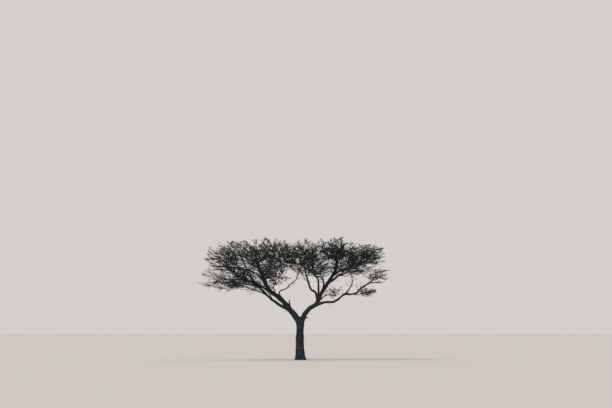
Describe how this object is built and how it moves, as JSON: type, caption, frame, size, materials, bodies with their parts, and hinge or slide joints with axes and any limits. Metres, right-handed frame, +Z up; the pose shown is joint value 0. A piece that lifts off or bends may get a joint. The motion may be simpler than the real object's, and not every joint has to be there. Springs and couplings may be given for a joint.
{
  "type": "acacia tree",
  "caption": "Mature flat-topped acacia tree with a trunk forked low into two leaning stems, crooked open boughs and a wide thin crown of fine dark foliage.",
  "frame": {"origin": "middle of the trunk's foot, in the flat cut at ground level", "axes": "+Z up; +X along the crown's widest spread, towards the smaller right-hand side of the crown; -Y faces the viewer"},
  "size_m": [12.9607, 9.4306, 8.2158],
  "materials": {
    "bark": "dark grey-brown fissured bark, matt",
    "foliage": "fine dull dark green leaves and thin dark twigs, matt"
  },
  "bodies": {
    "root": {"bough_centre": "bark", "bough_centre_back": "bark", "bough_centre_front": "bark", "bough_centre_riser": "bark", "bough_left_back": "bark", "bough_left_back_low": "bark", "bough_left_core": "bark", "bough_left_front": "bark", "bough_left_front_low": "bark", "bough_left_front_upper": "bark", "bough_left_inner": "bark", "bough_left_inner_back": "bark", "bough_left_inner_front": "bark", "bough_left_low_inner": "bark", "bough_left_middle": "bark", "bough_left_outer": "bark", "bough_left_upper": "bark", "bough_right_back": "bark", "bough_right_front": "bark", "bough_right_inner": "bark", "bough_right_low": "bark", "bough_right_low_riser": "bark", "bough_right_low_side": "bark", "bough_right_spur": "bark", "bough_right_upper": "bark", "foliage_centre": "foliage", "foliage_centre_back": "foliage", "foliage_centre_front": "foliage", "foliage_centre_riser": "foliage", "foliage_left_back": "foliage", "foliage_left_back_low": "foliage", "foliage_left_core": "foliage", "foliage_left_front": "foliage", "foliage_left_front_low": "foliage", "foliage_left_front_upper": "foliage", "foliage_left_inner": "foliage", "foliage_left_inner_back": "foliage", "foliage_left_inner_front": "foliage", "foliage_left_low_inner": "foliage", "foliage_left_middle": "foliage", "foliage_left_outer": "foliage", "foliage_left_upper": "foliage", "foliage_right_back": "foliage", "foliage_right_front": "foliage", "foliage_right_inner": "foliage", "foliage_right_low": "foliage", "foliage_right_low_riser": "foliage", "foliage_right_low_side": "foliage", "foliage_right_spur": "foliage", "foliage_right_upper": "foliage", "foliage_top_left": "foliage", "foliage_top_right": "foliage", "stem_left": "bark", "stem_right": "bark", "trunk": "bark"}
  },
  "joints": []
}
